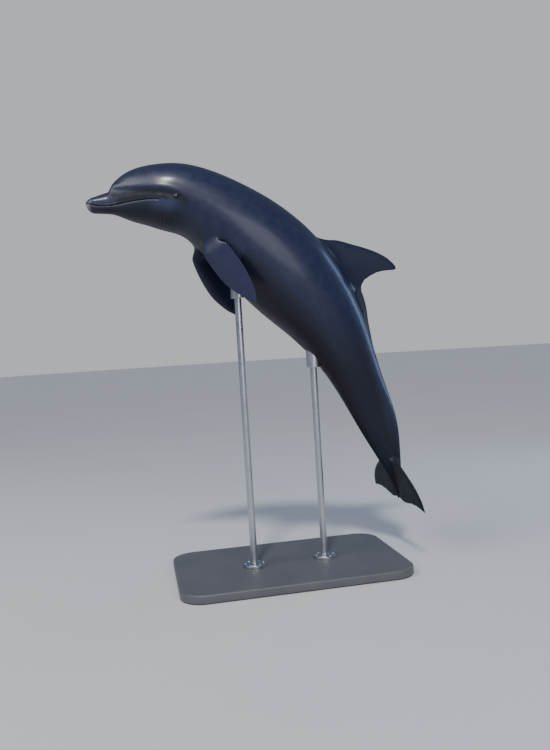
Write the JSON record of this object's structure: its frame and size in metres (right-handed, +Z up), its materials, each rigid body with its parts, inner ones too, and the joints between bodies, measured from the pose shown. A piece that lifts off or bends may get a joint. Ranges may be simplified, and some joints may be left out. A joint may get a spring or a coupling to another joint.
{
  "type": "bottlenose dolphin model",
  "caption": "Life-size museum model of a bottlenose dolphin in mid leap, head to the left and tail swinging down, held by slim steel rods on a low flat plinth.",
  "frame": {"origin": "middle of the underside of the plinth, on the floor, under the model's centre of mass", "axes": "+Z up; -X the way the head points; -Y the dolphin's left side; the long side of the plinth runs along X"},
  "size_m": [1.5847, 0.7701, 2.0988],
  "materials": {
    "skin": "wet, smooth slate-grey skin, paler below",
    "eye": "wet, nearly black",
    "base": "satin dark grey",
    "steel": "brushed"
  },
  "bodies": {
    "root": {"beak_upper": "skin", "lower_jaw": "skin", "head": "skin", "neck": "skin", "trunk_front": "skin", "trunk_middle": "skin", "tail_stock_front": "skin", "tail_stock_rear": "skin", "dorsal_fin": "skin", "flipper_left": "skin", "flipper_right": "skin", "fluke_left": "skin", "fluke_right": "skin", "eye_left": "eye", "eye_right": "eye", "stand_base": "base", "stand_rod_front": "steel", "stand_rod_rear": "steel", "stand_flange_front": "steel", "stand_flange_rear": "steel", "stand_collar_front": "steel", "stand_collar_rear": "steel"}
  },
  "joints": []
}
